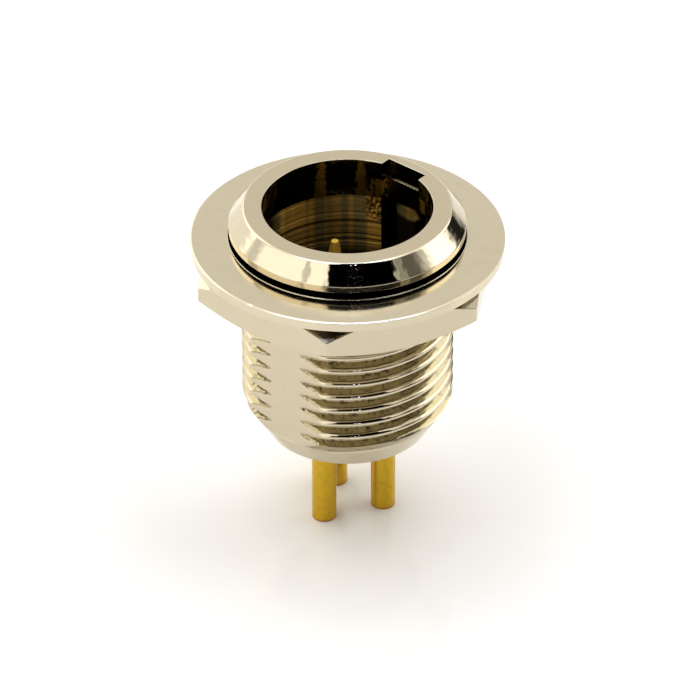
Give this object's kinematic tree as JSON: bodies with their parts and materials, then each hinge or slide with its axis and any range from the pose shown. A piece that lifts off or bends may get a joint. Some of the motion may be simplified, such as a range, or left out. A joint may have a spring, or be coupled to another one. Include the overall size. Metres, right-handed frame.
{
  "type": "microphone socket",
  "caption": "Round panel socket for a small microphone plug: keyed bore with gold pins, bevelled rim, thin flange, threaded barrel with a hex nut, and solder tails.",
  "frame": {"origin": "on the mating axis, level with the ends of the solder tails that the part stands on", "axes": "+Z along the mating axis towards the mouth, +Y towards the key notch, -Y towards the flat on the barrel"},
  "size_m": [0.0164, 0.016, 0.0182],
  "materials": {
    "shell_nickel": "bright nickel plate on turned brass",
    "nut_nickel": "satin nickel plate on brass",
    "insert_plastic": "moulded black plastic",
    "contact_gold": "thin gold plate on turned brass"
  },
  "bodies": {
    "root": {"shell": "shell_nickel", "panel_nut": "nut_nickel", "insulator": "insert_plastic", "contact_1": "contact_gold", "contact_2": "contact_gold", "contact_3": "contact_gold"}
  },
  "joints": []
}
